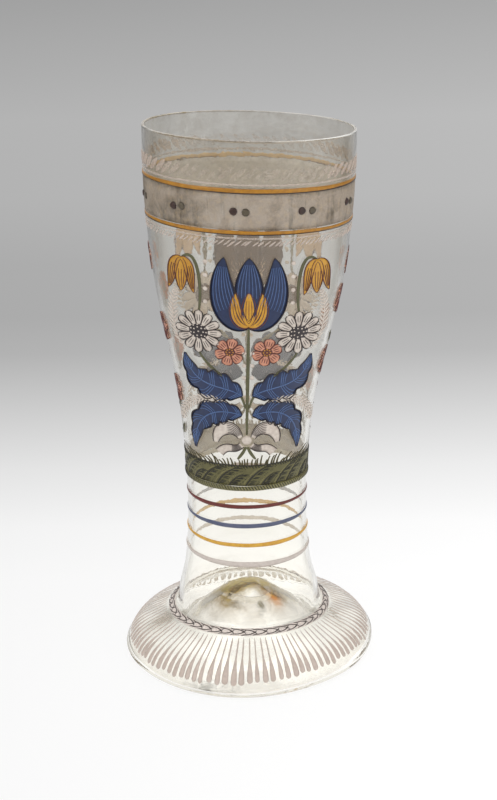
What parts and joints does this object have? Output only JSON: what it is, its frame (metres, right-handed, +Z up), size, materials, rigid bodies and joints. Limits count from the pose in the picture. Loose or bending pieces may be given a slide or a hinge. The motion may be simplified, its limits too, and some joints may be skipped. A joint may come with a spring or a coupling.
{
  "type": "humpen beaker",
  "caption": "Tall footed drinking glass with a flared bowl, narrow waist and wide hollow foot, blown in clear glass and painted with enamel bands, flowers and a chain border.",
  "frame": {"origin": "on the axis of the vessel, at the table that its foot ring stands on", "axes": "+Z up along the axis of revolution, the painted front faces -Y and +X is to the right of a viewer in front"},
  "size_m": [0.135, 0.135, 0.282],
  "materials": {
    "clear_glass": "clear blown glass with a faint grey-green tint",
    "white_enamel": "fired white enamel, satin, slightly pinkish",
    "rose_white_enamel": "thin pinkish-white enamel wash",
    "yellow_enamel": "fired ochre-yellow enamel, satin",
    "red_enamel": "fired brick-red enamel, satin",
    "blue_enamel": "fired dark-blue enamel, satin",
    "green_enamel": "fired grey-green enamel, satin",
    "olive_enamel": "fired grey-olive enamel drops",
    "black_enamel": "fired black-brown enamel, satin",
    "pink_enamel": "fired pink enamel, satin",
    "worn_gilding": "fired gilding, mostly worn to a grey-brown film"
  },
  "bodies": {
    "root": {"vessel": "clear_glass", "pontil_scar": "clear_glass", "rim_leaf_border": "white_enamel", "rim_white_line": "white_enamel", "upper_yellow_line": "yellow_enamel", "gilt_band": "worn_gilding", "brown_pearls": "red_enamel", "grey_pearls": "olive_enamel", "lower_yellow_line": "yellow_enamel", "collar_white_line": "white_enamel", "collar_comb": "white_enamel", "stems": "green_enamel", "blue_leaves": "blue_enamel", "blue_tulip": "blue_enamel", "tulip_cup": "yellow_enamel", "dark_tulip": "black_enamel", "white_daisies": "white_enamel", "daisy_eyes": "black_enamel", "pink_roses": "pink_enamel", "rose_hearts": "red_enamel", "yellow_bells": "yellow_enamel", "white_ribbon": "white_enamel", "white_sprays": "white_enamel", "meadow": "green_enamel", "meadow_rope": "green_enamel", "red_ring": "red_enamel", "blue_ring": "blue_enamel", "yellow_ring": "yellow_enamel", "white_ring": "white_enamel", "chain_band": "rose_white_enamel", "chain_links": "black_enamel", "foot_strokes": "white_enamel"}
  },
  "joints": []
}
